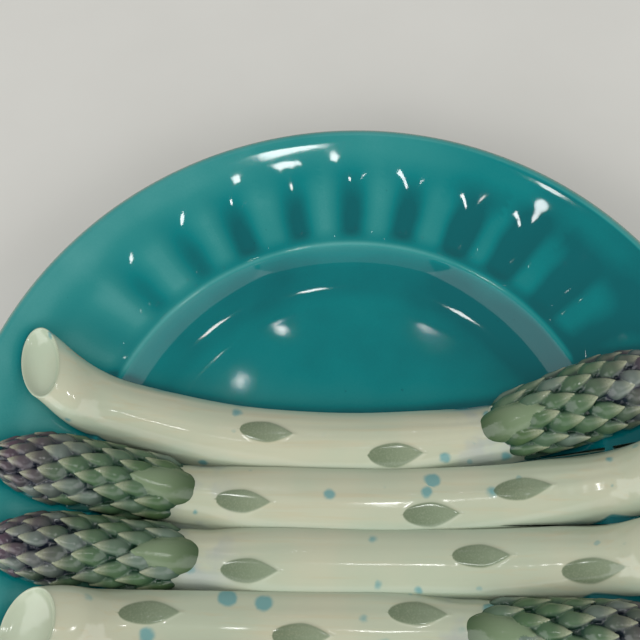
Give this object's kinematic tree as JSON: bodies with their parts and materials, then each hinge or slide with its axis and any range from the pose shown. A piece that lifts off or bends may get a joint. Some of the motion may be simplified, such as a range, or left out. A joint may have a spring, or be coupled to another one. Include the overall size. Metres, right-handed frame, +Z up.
{
  "type": "asparagus plate",
  "caption": "Round glazed earthenware plate with a fluted rim, a sauce well and asparagus spears laid side by side in high relief.",
  "frame": {"origin": "on the standing surface, under the middle of the foot ring", "axes": "+Z up, X along the spears, +Y from the spears to the sauce well"},
  "size_m": [0.24, 0.24, 0.0338],
  "materials": {
    "turquoise_glaze": "glossy",
    "foot_glaze": "glossy",
    "ivory_glaze": "glossy",
    "bud_glaze": "glossy",
    "scale_glaze": "glossy",
    "leaf_glaze": "glossy"
  },
  "bodies": {
    "root": {"plate_body": "turquoise_glaze", "foot_ring": "foot_glaze", "spear_1_stalk": "ivory_glaze", "spear_1_head": "bud_glaze", "spear_1_scales": "scale_glaze", "spear_1_leaves": "leaf_glaze", "spear_2_stalk": "ivory_glaze", "spear_2_head": "bud_glaze", "spear_2_scales": "scale_glaze", "spear_2_leaves": "leaf_glaze", "spear_3_stalk": "ivory_glaze", "spear_3_head": "bud_glaze", "spear_3_scales": "scale_glaze", "spear_3_leaves": "leaf_glaze", "spear_4_stalk": "ivory_glaze", "spear_4_head": "bud_glaze", "spear_4_scales": "scale_glaze", "spear_4_leaves": "leaf_glaze", "spear_5_stalk": "ivory_glaze", "spear_5_head": "bud_glaze", "spear_5_scales": "scale_glaze", "spear_5_leaves": "leaf_glaze"}
  },
  "joints": []
}
